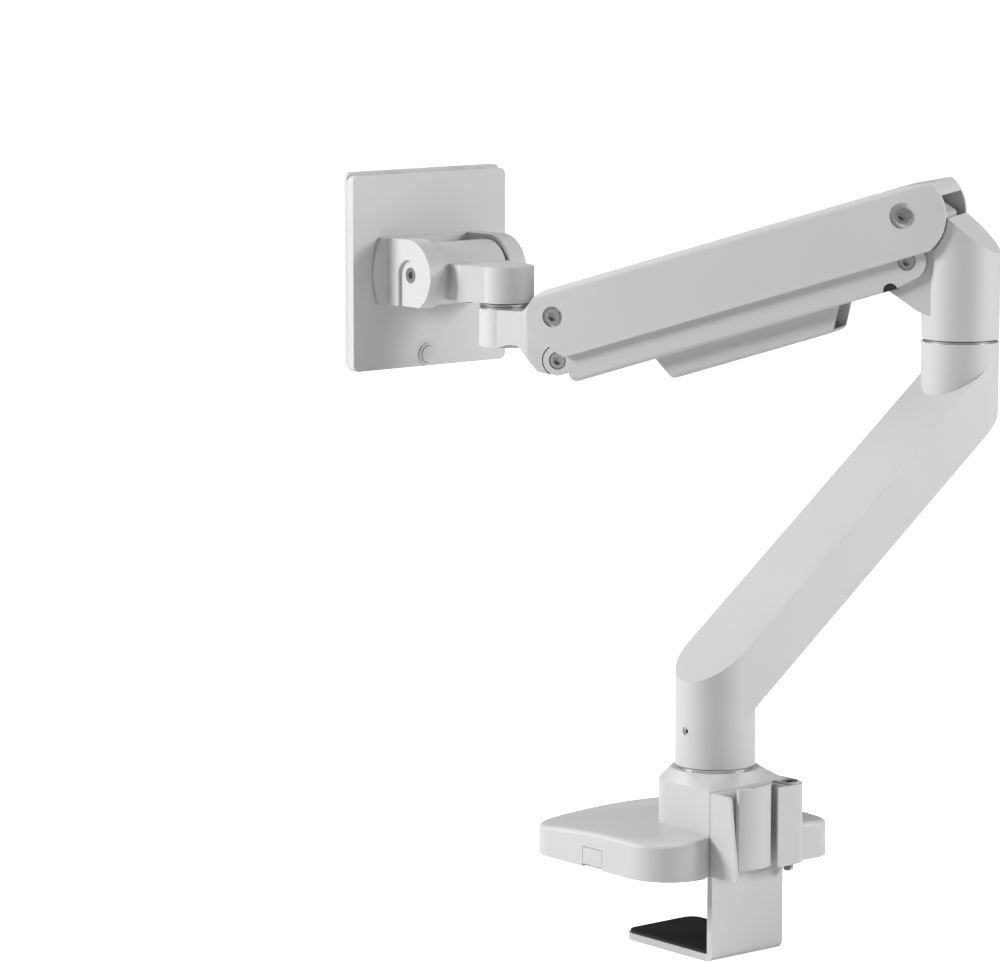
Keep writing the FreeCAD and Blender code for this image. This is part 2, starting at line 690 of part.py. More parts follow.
def lower_arm():
    ends = [rod(vec(x, 0, 0), Z_AXIS, COLUMN_R, ARM_BOSS_TOP) for x in (0, ARM_REACH)]
    stadium = fused(ends + [box((0, ARM_REACH), (-COLUMN_R, COLUMN_R), (0, ARM_BOSS_TOP))])
    near = -COLUMN_R - 1
    far = ARM_REACH + COLUMN_R
    underside = [(near, arm_underside(near), 0), (far - ARM_TIP, arm_underside(far - ARM_TIP), 0),
                 (far, arm_underside(far) + ARM_TIP, 0)]
    beam = stadium.common(side_prism(underside + [(far, arm_top(far), 0), (near, arm_top(near), 0)],
                                     -COLUMN_R, COLUMN_R))
    high = side_prism(underside + [(far, ARM_BOSS_TOP, 0), (near, ARM_BOSS_TOP, 0)], -COLUMN_R, COLUMN_R)
    low = side_prism([(near, ARM_BOTTOM, 0), (far, ARM_BOTTOM, 0), (far, arm_top(far), 0),
                      (near, arm_top(near), 0)], -COLUMN_R, COLUMN_R)
    arm = fused([beam, ends[0].common(low), ends[1].common(high)])
    arm = arm.cut(rod(vec(0, 0, ARM_BOTTOM), Z_AXIS, SPINDLE_R + BUSH_WALL, SPINDLE_RISE + 1))
    pin_start = vec(ARM_REACH, 0, ARM_BOSS_TOP - ELBOW_PIN_DEPTH)
    arm = arm.cut(rod(pin_start, Z_AXIS, ELBOW_PIN_R, ELBOW_PIN_DEPTH + 1))
    return arm.cut(rod(vec(-COLUMN_R - 1, 0, GRUB_Z), X_AXIS, GRUB_R, 1 + COLUMN_R - SPINDLE_R))


def lower_arm_bush():
    bush = tube(vec(0, 0, ARM_BOTTOM), Z_AXIS, SPINDLE_R + BUSH_WALL, SPINDLE_R + RUN, SPINDLE_RISE)
    return bush.cut(rod(vec(-COLUMN_R, 0, GRUB_Z), X_AXIS, GRUB_R, COLUMN_R))


def lower_arm_grub_screw():
    return grub_screw(vec(GRUB_SUNK - COLUMN_R, 0, GRUB_Z), X_AXIS)


def elbow_spindle():
    start = vec(ARM_REACH, 0, ARM_BOSS_TOP - ELBOW_PIN_DEPTH)
    return rod(start, Z_AXIS, ELBOW_PIN_R, ELBOW_PIN_DEPTH + ELBOW_BOTTOM - ARM_BOSS_TOP + ELBOW_PIN_RISE)


def elbow_washer():
    return tube(vec(ARM_REACH, 0, ARM_BOSS_TOP), Z_AXIS, SWIVEL_WASHER_R, ELBOW_PIN_R, SWIVEL_WASHER)


# ---------------------------------------------------------------- elbow
def elbow_lugs():
    up = REAR_UPPER
    low = REAR_LOWER
    web = [(0, ELBOW_BOTTOM + 8, 0), (COLUMN_R - 1, ELBOW_BOTTOM + 16.5, 0), (low.x + 13.6, low.z - 16.1, 3),
           (low.x + LUG_R, low.z, 0), (up.x + LUG_R, up.z, 0), (up.x + 3, up.z + LUG_R - 0.5, 0),
           (up.x - 4, up.z + 11.2, 0), (up.x - 20.6, up.z + 0.6, 0), (up.x - 21.1, up.z - 2.5, 0),
           (up.x - 19.7, up.z - 9.9, 0), (0, up.z - 15.4, 0)]
    plate = side_prism(web, -LUG_OUTER, LUG_OUTER)
    lugs = fused([plate, across(LUG_OUTER, up, LUG_R), across(LUG_OUTER, low, LUG_R)])
    slot = box((11.0, 80), (-LUG_SLOT, LUG_SLOT), (ELBOW_BOTTOM + 31, up.z + 20))
    return lugs.cut(slot)


def elbow_housing():
    body = rod(vec(0, 0, ELBOW_BOTTOM), Z_AXIS, COLUMN_R, PIVOT_Z + 30 - ELBOW_BOTTOM)
    rear = -COLUMN_R - 1
    front = COLUMN_R + 1
    keep = side_prism([(rear, ELBOW_BOTTOM, 0), (front, ELBOW_BOTTOM, 0),
                       (front, FACET_Z + FACET_SLOPE * front, 0),
                       (rear, FACET_Z + FACET_SLOPE * rear, 0)], -30, 30)
    scallop = across(30, REAR_UPPER, COVER_REAR_R + SCALLOP_GAP)
    body = body.common(keep).cut(scallop)
    housing = fused([body, elbow_lugs()])
    housing = housing.cut(box((11.0, 80), (-LUG_SLOT, LUG_SLOT), (ELBOW_BOTTOM + 31, PIVOT_Z + 20)))
    housing = housing.cut(across(30, REAR_UPPER, BUSH_R)).cut(across(30, REAR_LOWER, BUSH_R))
    housing = housing.cut(across(30, spring_pin_centre(), SPRING_PIN_R))
    return housing.cut(rod(vec(0, 0, ELBOW_BOTTOM), Z_AXIS, ELBOW_PIN_R + BUSH_WALL, ELBOW_PIN_RISE + 1))


def elbow_bush():
    return tube(vec(0, 0, ELBOW_BOTTOM), Z_AXIS, ELBOW_PIN_R + BUSH_WALL, ELBOW_PIN_R + RUN, ELBOW_PIN_RISE)


def spring_pin_centre():
    return REAR_UPPER - vec(0, 0, SPRING_ARM)


def spring_pin():
    return across(LUG_OUTER, spring_pin_centre(), SPRING_PIN_R)


def lug_bushes(centre, inner_end, collar):
    """Bushes pressed into both lugs; the collar fills the gap to the cover."""
    start = vec(centre.x, inner_end, centre.z)
    sleeve = rod(start, Y_AXIS, BUSH_R, LUG_OUTER - inner_end)
    if collar:
        face = vec(centre.x, LUG_OUTER, centre.z)
        sleeve = sleeve.fuse(rod(face, Y_AXIS, COLLAR_R, COVER_INNER - GAP - LUG_OUTER))
    bush = sleeve.cut(rod(start, Y_AXIS, PIVOT_R + RUN, COVER_HALF_WIDTH)).removeSplitter()
    return group(both_sides(bush))


# ---------------------------------------------------------------- upper beam
def cover_side():
    front = BEAM_LENGTH
    low = -COVER_BOTTOM - COVER_TAPER
    middle = [(0, -COVER_BOTTOM, 0), (front, low, 0), (front + COVER_FRONT_CORNER, low + COVER_FRONT_CORNER, 3),
              (front + COVER_FRONT_CORNER, 0, 0), (front, COVER_TOP, 0), (0, COVER_TOP, 0)]
    body = side_prism(middle, -COVER_HALF_WIDTH, COVER_HALF_WIDTH)
    rear = across(COVER_HALF_WIDTH, vec(0, 0, 0), COVER_REAR_R)
    rear = rear.common(side_prism([(-40, -COVER_BOTTOM, 0), (0, -COVER_BOTTOM, 0), (0, COVER_TOP, 0),
                                   (-40, COVER_TOP - COVER_REAR_DROP, 0)], -40, 40))
    nose = across(COVER_HALF_WIDTH, vec(front, 0, 0), COVER_FRONT_R)
    return fused([body, rear, nose])


def upper_beam_cover():
    half = COVER_HALF_WIDTH
    section = [(-half, -60, 0), (half, -60, 0), (half, COVER_TOP, COVER_EDGE), (-half, COVER_TOP, COVER_EDGE)]
    cover = cover_side().common(facing_prism(section, -60, BEAM_LENGTH + 60))
    inside = (-COVER_INNER, COVER_INNER)
    room = box((0, BEAM_LENGTH + 60), inside, (-60, COVER_ROOF))
    rear_room = across(COVER_INNER, vec(0, 0, 0), COVER_REAR_R - COVER_WALL)
    rear_room = rear_room.common(box((-40, 1), (-40, 40), (-60, COVER_ROOF)))
    rear_door = box((-60, 0), inside, (-60, COVER_REAR_LIP))
    front_door = box((BEAM_LENGTH + 1.4, BEAM_LENGTH + 60), inside, (-60, COVER_TOP + 1))
    cover = cover.cut(room).cut(rear_room).cut(rear_door).cut(front_door)
    cover = cover.cut(across(60, vec(0, 0, 0), PIVOT_R + FIT / 2))
    cover = cover.cut(across(60, vec(BEAM_LENGTH, 0, 0), PIVOT_R + FIT / 2))
    for x, radius in ((0, REAR_RECESS_R), (BEAM_LENGTH, FRONT_RECESS_R)):
        recess = rod(vec(x, half - RECESS_DEPTH, 0), Y_AXIS, radius, RECESS_DEPTH + 1)
        for side in both_sides(recess):
            cover = cover.cut(side)
    return cover


def pivot_bolts(face_y, inner_end):
    """Shouldered hex-socket screws at both ends of a beam, from both sides."""
    shank = (PIVOT_R, face_y - PIVOT_HEAD - inner_end)
    bolts = []
    for x in (0, BEAM_LENGTH):
        bolt = socket_screw(vec(x, face_y, 0), -Y_AXIS, (PIVOT_HEAD_R, PIVOT_HEAD), shank, PIVOT_SOCKET)
        bolts += both_sides(bolt)
    return group(bolts)


def upper_pivot_bolts():
    face = COVER_HALF_WIDTH - RECESS_DEPTH + PIVOT_HEAD
    return pivot_bolts(face, LUG_SLOT + 0.4)


def gas_spring_tube():
    start = vec(TUBE_START, 0, -SPRING_LINE)
    body = rod(start, X_AXIS, TUBE_R, TUBE_END - TUBE_START)
    return body.cut(rod(start, X_AXIS, ROD_R + RUN, TUBE_END - TUBE_START - 8))


def spring_anchor():
    """Block under the cover's top wall that holds the front of the spring."""
    low = -SPRING_LINE - TUBE_R
    block = box((TUBE_END, TUBE_END + ANCHOR_LENGTH), (-ANCHOR_HALF, ANCHOR_HALF), (low, COVER_ROOF))
    face = vec(TUBE_END + ANCHOR_LENGTH, 0, -SPRING_LINE)
    return block.cut(hex_prism(face, -X_AXIS, 6.0, 8.0))


def pin_in_beam():
    """Where the spring's pin lies in the beam's own frame at rest."""
    return vec(-SPRING_ARM * math.sin(RISE), 0, -SPRING_ARM * math.cos(RISE))


def spring_rod():
    x = pin_in_beam().x
    yoke = box((x - YOKE_SIDE, x + YOKE_SIDE + 1), (-YOKE_HALF, YOKE_HALF),
               (-SPRING_LINE - YOKE_HEIGHT / 2, -SPRING_LINE + YOKE_HEIGHT / 2))
    play = SPRING_PIN_R + YOKE_PLAY
    travel = SPRING_PIN_R + YOKE_TRAVEL
    slot = box((x - play, x + play), (-YOKE_HALF, YOKE_HALF), (-SPRING_LINE - travel, -SPRING_LINE + travel))
    shaft = rod(vec(x + YOKE_SIDE, 0, -SPRING_LINE), X_AXIS, ROD_R, ROD_END - x - YOKE_SIDE)
    return fused([yoke, shaft]).cut(slot)


# ---------------------------------------------------------------- lower link
def link_bottom(x):
    return -LINK_BOTTOM - LINK_TAPER * x / LINK_FRONT


def lower_link_cover():
    side = [(0, -LINK_END_R, 0), (12, link_bottom(12), 0), (LINK_FRONT, link_bottom(LINK_FRONT), 5),
            (LINK_FRONT, 0, 0), (BEAM_LENGTH, 0, 0), (BEAM_LENGTH, LINK_TOP, 0), (0, LINK_TOP, 0)]
    body = side_prism(side, -LINK_OUTER, LINK_OUTER)
    ends = [across(LINK_OUTER, vec(0, 0, 0), LINK_END_R), across(LINK_OUTER, vec(BEAM_LENGTH, 0, 0), LINK_BOSS_R)]
    low = link_bottom(LINK_FRONT)
    section = [(-LINK_OUTER, low, LINK_EDGE), (LINK_OUTER, low, LINK_EDGE), (LINK_OUTER, 40, 0),
               (-LINK_OUTER, 40, 0)]
    link = fused([body] + ends).common(facing_prism(section, -60, BEAM_LENGTH + 60))
    floor = [(LINK_FLOOR_START, link_bottom(LINK_FLOOR_START) + LINK_FLOOR, 0),
             (BEAM_LENGTH + 40, link_bottom(BEAM_LENGTH + 40) + LINK_FLOOR, 0),
             (BEAM_LENGTH + 40, 40, 0), (-40, 40, 0), (-40, -40, 0), (LINK_FLOOR_START, -40, 0)]
    link = link.cut(side_prism(floor, -LINK_INNER, LINK_INNER))
    link = link.cut(link_notch(LINK_OUTER))
    for x in (0, BEAM_LENGTH):
        link = link.cut(across(60, vec(x, 0, 0), PIVOT_R + FIT / 2))
        recess = rod(vec(x, LINK_OUTER - RECESS_DEPTH, 0), Y_AXIS, PIVOT_HEAD_R + 0.7, RECESS_DEPTH + 1)
        for cut_side in both_sides(recess):
            link = link.cut(cut_side)
    return link


def link_notch(half):
    """Half-round notch in the lower edge of both cheeks."""
    return across(half, vec(NOTCH_PLACE, 0, link_bottom(NOTCH_PLACE)), NOTCH_R)


def link_plugs():
    """Black plugs that fill the notches in the link's cheeks."""
    side = [(0, link_bottom(0), 0), (2 * NOTCH_PLACE, link_bottom(2 * NOTCH_PLACE), 0),
            (2 * NOTCH_PLACE, 0, 0), (0, 0, 0)]
    plugs = []
    for low, high in ((LINK_INNER, LINK_OUTER - FIT), (FIT - LINK_OUTER, -LINK_INNER)):
        plugs.append(link_notch(LINK_OUTER).common(side_prism(side, low, high)))
    return group(plugs)


def lower_pivot_bolts():
    return pivot_bolts(LINK_OUTER - RECESS_DEPTH + PIVOT_HEAD, LUG_SLOT + 0.4)


def cable_cover():
    """Clip-on channel under the link, open at both ends."""
    top_rear = link_bottom(CLIP_REAR)
    top_front = link_bottom(CLIP_FRONT)
    low_rear = CLIP_REAR + CLIP_REAR_SLANT
    low_front = CLIP_FRONT - CLIP_FRONT_SLANT
    side = [(CLIP_REAR, top_rear, 0), (low_rear, top_rear - CLIP_DEPTH, 4),
            (low_front, top_front - CLIP_DEPTH, 4), (CLIP_FRONT, top_front, 0)]
    body = side_prism(side, -CLIP_HALF_WIDTH, CLIP_HALF_WIDTH)
    section = rectangle((-CLIP_HALF_WIDTH, CLIP_HALF_WIDTH), (-40, 20), 0)
    section[0] = (-CLIP_HALF_WIDTH, top_front - CLIP_DEPTH, 3)
    section[1] = (CLIP_HALF_WIDTH, top_front - CLIP_DEPTH, 3)
    body = body.common(facing_prism(section, 0, BEAM_LENGTH))
    inner = CLIP_HALF_WIDTH - CLIP_WALL
    room = [(CLIP_REAR - 10, top_rear - CLIP_DEPTH + CLIP_WALL, 0),
            (CLIP_FRONT + 10, top_front - CLIP_DEPTH + CLIP_WALL, 0),
            (CLIP_FRONT + 10, 0, 0), (CLIP_REAR - 10, 0, 0)]
    return body.cut(side_prism(room, -inner, inner))


# ---------------------------------------------------------------- front bracket
def front_bracket():
    up = FRONT_UPPER
    low = FRONT_LOWER
    side = [(HEAD_X, BOSS_BOTTOM, 0), (HEAD_X - 8, BOSS_BOTTOM + 2.5, 0), (HEAD_X - 14.7, BOSS_BOTTOM + 2, 2),
            (low.x + 12.6, low.z - 7.0, 2), (low.x + 1.5, low.z - 8.9, 0), (low.x - 8.9, low.z, 0),
            (up.x - FRONT_LUG_R, up.z, 0), (up.x, up.z + FRONT_LUG_R, 0), (up.x + 12.2, up.z + 10.6, 1),
            (HEAD_X - 17.6, BOSS_TOP, 2), (HEAD_X, BOSS_TOP, 0)]
    body = side_prism(side, -BRACKET_HALF_WIDTH, BRACKET_HALF_WIDTH)
    lugs = [across(LUG_OUTER, up, FRONT_LUG_R), across(LUG_OUTER, low, LINK_BOSS_R)]
    plan = [(low.x - 30, -BRACKET_HALF_WIDTH, 0), (HEAD_X - 21, -BRACKET_HALF_WIDTH, 6), (HEAD_X, -BOSS_R, 0),
            (HEAD_X, BOSS_R, 0), (HEAD_X - 21, BRACKET_HALF_WIDTH, 6), (low.x - 30, BRACKET_HALF_WIDTH, 0)]
    body = body.common(plan_prism(plan, BOSS_BOTTOM - 40, BOSS_TOP + 40))
    body = body.cut(front_clearance())
    boss = rod(vec(HEAD_X, 0, BOSS_BOTTOM), Z_AXIS, BOSS_R, BOSS_TOP - BOSS_BOTTOM)
    bracket = fused([body, boss] + lugs)
    bracket = bracket.cut(across(30, up, BUSH_R)).cut(across(30, low, BUSH_R))
    return bracket.cut(rod(vec(HEAD_X, 0, BOSS_TOP - HEAD_PIN_DEPTH), Z_AXIS, HEAD_PIN_R, 40))


def front_clearance():
    """Outer skins taken away where the link's front end turns."""
    up = FRONT_UPPER
    low = FRONT_LOWER
    link_end = across(30, low, BRACKET_SWEEP)
    link_sweep = side_prism([(low.x, low.z - 40, 0), (low.x + 4.8, low.z + 7.6, 0),
                             (low.x - 60, low.z + 48.6, 0), (low.x - 60, low.z - 40, 0)], -30, 30)
    collar = across(30, up, COLLAR_R + SIDE_GAP)
    behind = box((low.x - 60, low.x - SKIN_BEHIND), (-30, 30), (low.z - 40, up.z + 40))
    top = across(30, up, COVER_FRONT_R + 0.8).common(box((0, up.x + 40), (-30, 30), (up.z - 4, up.z + 40)))
    inner = box((0, 400), (-LUG_OUTER, LUG_OUTER), (0, 400))
    top = top.cut(across(30, up, FRONT_LUG_R)).cut(head_side_keep())
    return fused([link_end, link_sweep, collar, behind]).cut(inner).fuse(top)


def head_side_keep():
    """Sector in front of the upper pivot that stays solid."""
    up = FRONT_UPPER
    return side_prism([(up.x, up.z, 0), (up.x + 40, up.z - 40, 0), (up.x + 40, up.z + 34, 0)], -31, 31)


def head_spindle():
    start = vec(HEAD_X, 0, BOSS_TOP - HEAD_PIN_DEPTH)
    return rod(start, Z_AXIS, HEAD_PIN_R, HEAD_PIN_DEPTH + KNUCKLE_BOTTOM - BOSS_TOP + HEAD_PIN_RISE)


def head_washers():
    lower = tube(vec(HEAD_X, 0, BOSS_TOP), Z_AXIS, HEAD_WASHER_R, HEAD_PIN_R, HEAD_WASHER)
    upper = lower.copy()
    upper.translate(vec(0, 0, HEAD_WASHER + GAP))
    return group([lower, upper])


# ---------------------------------------------------------------- knuckle
def swivel_knuckle():
    height = KNUCKLE_TOP - KNUCKLE_BOTTOM
    post = rod(vec(0, 0, KNUCKLE_BOTTOM), Z_AXIS, KNUCKLE_R, height)
    plan = [(-KNUCKLE_R, 0, 0), (-NECK_HALF, -NECK_CORNER, 2), (-NECK_REAR_HALF, -NECK_LENGTH, 0),
            (NECK_REAR_HALF, -NECK_LENGTH, 0), (NECK_HALF, -NECK_CORNER, 2), (KNUCKLE_R, 0, 0)]
    neck = plan_prism(plan, KNUCKLE_BOTTOM, KNUCKLE_TOP)
    barrel = rod(TILT_CENTRE + vec(-BARREL_HALF, 0, 0), X_AXIS, BARREL_R, 2 * BARREL_HALF)
    knuckle = fused([post, neck, barrel])
    knuckle = knuckle.cut(rod(vec(0, 0, KNUCKLE_BOTTOM), Z_AXIS, HEAD_PIN_R + BUSH_WALL, HEAD_PIN_RISE + 1))
    knuckle = knuckle.cut(rod(TILT_CENTRE + vec(-40, 0, 0), X_AXIS, TILT_PIN_R + RUN, 80))
    return knuckle.cut(rod(neck_screw_face(), Z_AXIS, GRUB_R, GRUB_LENGTH))


def neck_screw_face():
    return vec(17.3, -14.2, KNUCKLE_BOTTOM - 0.8)


def knuckle_grub_screw():
    return grub_screw(neck_screw_face(), Z_AXIS)


def knuckle_bush():
    return tube(vec(0, 0, KNUCKLE_BOTTOM), Z_AXIS, HEAD_PIN_R + BUSH_WALL, HEAD_PIN_R + RUN, HEAD_PIN_RISE)


# ---------------------------------------------------------------- tilt bracket
def ear(side):
    x = side * EAR_INNER if side > 0 else -EAR_OUTER
    back = PLATE_FACE + GAP
    blade = box((x, x + EAR_THICK), (back, -NECK_LENGTH), (TILT_Z - EAR_BOTTOM, TILT_Z + EAR_R))
    nose = rod(TILT_CENTRE + vec(x, 0, 0), X_AXIS, EAR_R, EAR_THICK)
    nose = nose.common(box((x, x + EAR_THICK), (-NECK_LENGTH, 0), (TILT_Z - EAR_BOTTOM, TILT_Z + EAR_R)))
    low = TILT_Z - EAR_BOTTOM
    ramp = plan_prism([(side * EAR_OUTER, back, 0), (side * (ROOT_RADIUS + 1), back, 0),
                       (side * EAR_OUTER, back + ROOT_DEPTH, 0)], low, TILT_Z + EAR_R)
    disc = rod(vec(0, back, TILT_Z), Y_AXIS, ROOT_RADIUS, ROOT_DEPTH)
    return fused([blade, nose, ramp.common(disc)])


def tilt_bracket():
    back = PLATE_FACE + GAP
    wall = box((-EAR_OUTER, EAR_OUTER), (back, back + CROSS_WALL), (TILT_Z - EAR_BOTTOM, TILT_Z + EAR_R))
    bracket = fused([ear(1), ear(-1), wall])
    face = TILT_CENTRE + vec(EAR_OUTER - EAR_RECESS, 0, 0)
    arch = fused([rod(face, X_AXIS, EAR_RECESS_R, 20),
                  box((face.x, face.x + 20), (face.y - EAR_RECESS_R, face.y + EAR_RECESS_R),
                      (TILT_Z - 40, TILT_Z))])
    bracket = bracket.cut(arch)
    bracket = bracket.cut(rod(face, -X_AXIS, TILT_HEAD_R, TILT_HEAD))
    bracket = bracket.cut(rod(face, -X_AXIS, TILT_PIN_R, 2 * EAR_OUTER))
    nut_face = TILT_CENTRE - vec(EAR_OUTER, 0, 0)
    bracket = bracket.cut(hex_prism(nut_face, X_AXIS, 2 * TILT_NUT_R, TILT_NUT))
    return bracket.cut(rod(vec(0, 0, TILT_Z) + vec(0, back - 1, 0), Y_AXIS, TURN_PIN_R, CROSS_WALL + 2))


def tilt_bolt():
    face = TILT_CENTRE + vec(EAR_OUTER - EAR_RECESS, 0, 0)
    length = 2 * EAR_OUTER - EAR_RECESS - TILT_HEAD - 0.5
    return socket_screw(face, -X_AXIS, (TILT_HEAD_R, TILT_HEAD), (TILT_PIN_R, length), 4.0)


def tilt_nut():
    face = TILT_CENTRE - vec(EAR_OUTER - 0.5, 0, 0)
    nut = hex_prism(face, X_AXIS, 2 * TILT_NUT_R - 0.2, TILT_NUT - 0.5)
    return nut.cut(rod(face, X_AXIS, TILT_PIN_R, TILT_NUT))


def friction_washers():
    left = tube(TILT_CENTRE + vec(EAR_INNER - TILT_WASHER, 0, 0), X_AXIS, TILT_WASHER_R, TILT_PIN_R,
                TILT_WASHER)
    return group([left, left.mirror(vec(0, 0, 0), X_AXIS)])


def turn_washer_face():
    return vec(0, PLATE_FRONT + TURN_SINK, TILT_Z)


def rotation_spindle():
    """Short stub, fixed in the tilt bracket, on which the head plate turns."""
    end = turn_washer_face().y + TURN_WASHER
    start = PLATE_FACE + GAP + CROSS_WALL
    stub = rod(vec(0, end, TILT_Z), Y_AXIS, TURN_PIN_R, start - end)
    return stub.cut(rod(vec(0, end, TILT_Z), Y_AXIS, 2.0, 6.0))


def rotation_washer():
    return tube(turn_washer_face(), Y_AXIS, TURN_WASHER_R, 2.0, TURN_WASHER)


def rotation_screw():
    face = turn_washer_face() - vec(0, 1.6, 0)
    return socket_screw(face, Y_AXIS, (4.0, 1.6), (2.0, TURN_WASHER + 5.0), 2.5)


# ---------------------------------------------------------------- plates
def plate_outline(z_low):
    half = PLATE_SIZE / 2
    return rectangle((-half, half), (z_low, z_low + PLATE_SIZE), PLATE_CORNER)


def rail_section(side, spread):
    near = side * (RAIL_NEAR - spread)
    far = side * (RAIL_FAR + spread)
    front = ADAPTER_BACK
    back = ADAPTER_BACK + RAIL_DEPTH + spread
    return [(near, front, 0), (far, front, 0), (far + side * RAIL_UNDERCUT, back, 0),
            (near - side * RAIL_UNDERCUT, back, 0)]


def rail(side, spread, z_low, z_high):
    return plan_prism(rail_section(side, spread), z_low, z_high)


def head_plate():
    plate = side_prism(plate_outline(TILT_Z - PLATE_SIZE / 2), PLATE_FRONT, PLATE_FACE)
    ring = rod(vec(BUTTON_X, PLATE_FACE, TILT_Z - BUTTON_DROP), Y_AXIS, BUTTON_R + BUTTON_RING, 1.2)
    plate = fused([plate, ring])
    plate = plate.cut(rod(vec(0, PLATE_FACE + 1, TILT_Z), -Y_AXIS, TURN_PIN_R + RUN, HEAD_PLATE + 2))
    recess = rod(vec(0, PLATE_FRONT - 1, TILT_Z), Y_AXIS, TURN_WASHER_R + GAP,
                 1 + TURN_SINK + TURN_WASHER + GAP)
    plate = plate.cut(recess)
    for side in (1, -1):
        plate = plate.cut(rail(side, GAP, TILT_Z - RAIL_LENGTH / 2 - GAP, TILT_Z + PLATE_SIZE))
    return plate.cut(rod(vec(BUTTON_X, PLATE_FACE + 2, TILT_Z - BUTTON_DROP), -Y_AXIS,
                         BUTTON_R + GAP, HEAD_PLATE + 1.2))


def release_button():
    """Spring-loaded push button, domed, in a round collar on the plate's rear."""
    base = vec(BUTTON_X, PLATE_FACE - HEAD_PLATE + BUTTON_TRAVEL + 1.4, TILT_Z - BUTTON_DROP)
    top = PLATE_FACE + BUTTON_PROUD
    body = rod(base, Y_AXIS, BUTTON_R, top - base.y)
    dome_radius = 12.0
    dome = Part.makeSphere(dome_radius, vec(base.x, top - dome_radius, base.z))
    return body.common(dome.fuse(rod(base, Y_AXIS, BUTTON_R + 1, top - base.y - 1.6)))


def vesa_holes():
    holes = []
    for spacing in (VESA_LARGE, VESA_SMALL):
        for x in (-spacing / 2, spacing / 2):
            for z in (TILT_Z - spacing / 2, TILT_Z + spacing / 2):
                holes.append(rod(vec(x, ADAPTER_FACE - 1, z), Y_AXIS, VESA_HOLE_R, ADAPTER + 2))
    return holes


def adapter_plate():
    low = TILT_Z - PLATE_SIZE / 2 + ADAPTER_LIFT
    plate = side_prism(plate_outline(low), ADAPTER_FACE, ADAPTER_BACK)
    for hole in vesa_holes():
        plate = plate.cut(hole)
    return plate.cut(rod(vec(0, ADAPTER_FACE - 1, TILT_Z), Y_AXIS, TURN_WASHER_R, ADAPTER + 2))


def adapter_rails():
    low = TILT_Z - RAIL_LENGTH / 2
    return group([rail(side, 0, low, low + RAIL_LENGTH) for side in (1, -1)])


# ---------------------------------------------------------------- placing and export
def save(name, shape):
    shape.exportStep(os.path.join("parts", name + ".step"))


def main():
    os.makedirs("parts", exist_ok=True)
    beam = beam_frame(REAR_UPPER)
    link = beam_frame(REAR_LOWER)
    for make in (base_housing, base_plate, desk_pad, base_screws, column_spindle, base_washer,
                 cable_holder, clamp_screw, clamp_clip, clamp_jaw, jaw_pad, clamp_nut, key_tray, hex_key):
        save(make.__name__, make())
    for make in (lower_arm, lower_arm_bush, lower_arm_grub_screw, elbow_spindle, elbow_washer):
        save(make.__name__, placed(make(), LOWER_FRAME))
    for make in (elbow_housing, elbow_bush, spring_pin, front_bracket, head_spindle, head_washers):
        save(make.__name__, placed(make(), UPPER_FRAME))
    for make in (upper_beam_cover, upper_pivot_bolts, gas_spring_tube, spring_anchor, spring_rod):
        save(make.__name__, placed(make(), beam))
    for make in (lower_link_cover, link_plugs, lower_pivot_bolts, cable_cover):
        save(make.__name__, placed(make(), link))
    inner = LUG_SLOT + 0.2
    save("elbow_upper_bushes", placed(lug_bushes(REAR_UPPER, inner, True), UPPER_FRAME))
    save("elbow_lower_bushes", placed(lug_bushes(REAR_LOWER, inner, False), UPPER_FRAME))
    save("bracket_upper_bushes", placed(lug_bushes(FRONT_UPPER, inner, True), UPPER_FRAME))
    save("bracket_lower_bushes", placed(lug_bushes(FRONT_LOWER, inner, False), UPPER_FRAME))
    for make in (swivel_knuckle, knuckle_bush, knuckle_grub_screw, tilt_bracket, tilt_bolt, tilt_nut,
                 friction_washers, rotation_spindle, rotation_washer, rotation_screw, head_plate,
                 release_button, adapter_plate, adapter_rails):
        save(make.__name__, placed(make(), HEAD_FRAME))


main()
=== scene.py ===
"""Looks of the desk monitor arm: powder-coated castings, moulded covers, plated screws and black rubber."""

import json
import math

import bmesh
import bpy
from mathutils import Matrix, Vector


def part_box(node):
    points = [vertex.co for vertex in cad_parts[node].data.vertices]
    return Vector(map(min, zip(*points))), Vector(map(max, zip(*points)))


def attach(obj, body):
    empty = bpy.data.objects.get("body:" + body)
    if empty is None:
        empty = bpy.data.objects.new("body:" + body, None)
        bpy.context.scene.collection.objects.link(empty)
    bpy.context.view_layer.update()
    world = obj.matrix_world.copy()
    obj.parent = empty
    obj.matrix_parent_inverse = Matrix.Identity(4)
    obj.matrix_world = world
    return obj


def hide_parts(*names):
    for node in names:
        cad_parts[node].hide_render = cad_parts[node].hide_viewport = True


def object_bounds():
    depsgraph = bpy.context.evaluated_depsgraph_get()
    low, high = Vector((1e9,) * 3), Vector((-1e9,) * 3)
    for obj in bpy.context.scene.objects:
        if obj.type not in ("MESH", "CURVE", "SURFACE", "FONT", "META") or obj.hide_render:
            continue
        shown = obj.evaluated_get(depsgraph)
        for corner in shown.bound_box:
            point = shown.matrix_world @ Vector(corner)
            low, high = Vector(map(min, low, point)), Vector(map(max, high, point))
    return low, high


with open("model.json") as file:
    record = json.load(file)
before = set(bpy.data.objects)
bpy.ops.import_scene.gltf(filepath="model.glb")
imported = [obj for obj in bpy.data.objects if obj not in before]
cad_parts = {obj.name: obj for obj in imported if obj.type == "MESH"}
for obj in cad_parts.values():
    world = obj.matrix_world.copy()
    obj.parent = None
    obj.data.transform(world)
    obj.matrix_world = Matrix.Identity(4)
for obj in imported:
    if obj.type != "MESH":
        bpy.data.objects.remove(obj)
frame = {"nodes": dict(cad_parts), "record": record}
cad_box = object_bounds()

